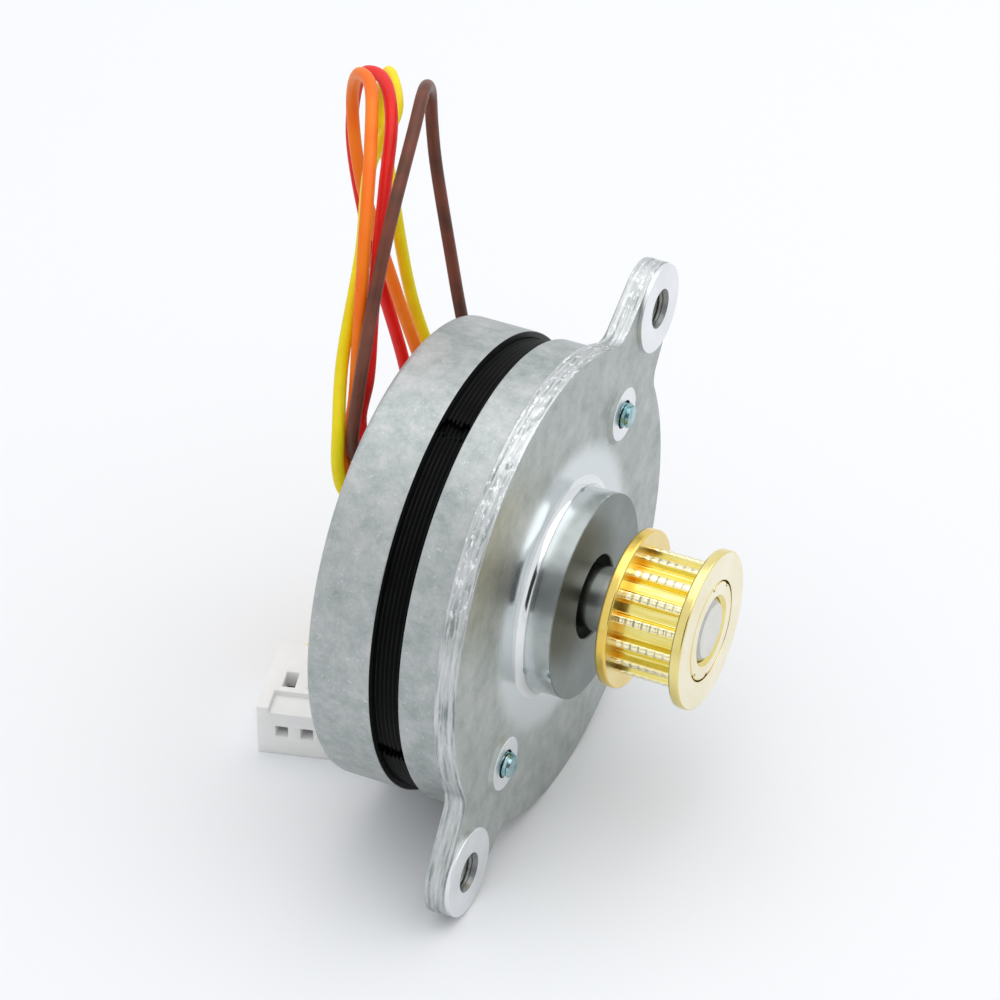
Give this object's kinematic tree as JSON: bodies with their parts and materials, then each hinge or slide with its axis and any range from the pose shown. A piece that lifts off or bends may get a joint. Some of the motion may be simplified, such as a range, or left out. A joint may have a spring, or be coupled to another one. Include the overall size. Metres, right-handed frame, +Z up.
{
  "type": "stepper motor",
  "caption": "Small round hybrid stepper motor with two mounting ears, a brass toothed belt pulley on its shaft, four coloured leads and a white plug.",
  "frame": {"origin": "on the shaft axis, in the plane of the machined faces of the two mounting ears", "axes": "+X along the shaft, from the motor out through the pulley; +Z up as the motor stands on the rim of its front plate and the tip of its lower ear"},
  "size_m": [0.0386, 0.0416, 0.0497],
  "materials": {
    "die_cast_aluminium": "matt die-cast, with machined pads",
    "lamination_steel": "dark oxide on laminations",
    "zinc_plated_steel": "blue zinc plating",
    "shaft_steel": "ground",
    "magnet_alloy": "ground",
    "brass": "turned, bright",
    "bearing_steel": "polished",
    "cage_brass": "pressed",
    "black_nylon": "moulded",
    "enamelled_copper": "enamelled wire",
    "yellow_pvc": "semi-gloss insulation",
    "orange_pvc": "semi-gloss insulation",
    "brown_pvc": "semi-gloss insulation",
    "red_pvc": "semi-gloss insulation",
    "white_nylon": "moulded",
    "tinned_brass": "tin plated"
  },
  "bodies": {
    "stator": {"front_cover": "die_cast_aluminium", "rear_cover": "die_cast_aluminium", "stator_stack": "lamination_steel", "case_screws": "zinc_plated_steel", "front_bearing_outer_ring": "bearing_steel", "front_bearing_shields": "shaft_steel", "rear_bearing_outer_ring": "bearing_steel", "rear_bearing_shields": "shaft_steel", "wave_washer": "bearing_steel", "front_insulator": "black_nylon", "rear_insulator": "black_nylon", "coils": "enamelled_copper", "lead_grommet": "black_nylon", "lead_yellow": "yellow_pvc", "lead_orange": "orange_pvc", "lead_brown": "brown_pvc", "lead_red": "red_pvc", "plug_housing": "white_nylon", "plug_terminals": "tinned_brass"},
    "rotor": {"shaft": "shaft_steel", "rotor_cup_front": "lamination_steel", "rotor_magnet": "magnet_alloy", "rotor_cup_rear": "lamination_steel", "pulley_hub": "brass", "pulley_rear_flange": "brass", "pulley_front_flange": "brass", "front_bearing_inner_ring": "bearing_steel", "rear_bearing_inner_ring": "bearing_steel"},
    "front_ball_set": {"front_bearing_balls": "bearing_steel", "front_bearing_cage": "cage_brass"},
    "rear_ball_set": {"rear_bearing_balls": "bearing_steel", "rear_bearing_cage": "cage_brass"}
  },
  "joints": [
    {"name": "shaft_spin", "type": "hinge", "parent": "stator", "child": "rotor", "pos_m": [0, 0, 0], "axis": [1, 0, 0], "continuous": true},
    {"name": "front_balls_orbit", "type": "hinge", "parent": "stator", "child": "front_ball_set", "pos_m": [-0.0005, 0, 0], "axis": [1, 0, 0], "continuous": true},
    {"name": "rear_balls_orbit", "type": "hinge", "parent": "stator", "child": "rear_ball_set", "pos_m": [-0.01025, 0, 0], "axis": [1, 0, 0], "continuous": true}
  ],
  "couplings": [
    {"joint": "front_balls_orbit", "follows": "shaft_spin", "ratio": 0.42857},
    {"joint": "rear_balls_orbit", "follows": "shaft_spin", "ratio": 0.42857}
  ]
}
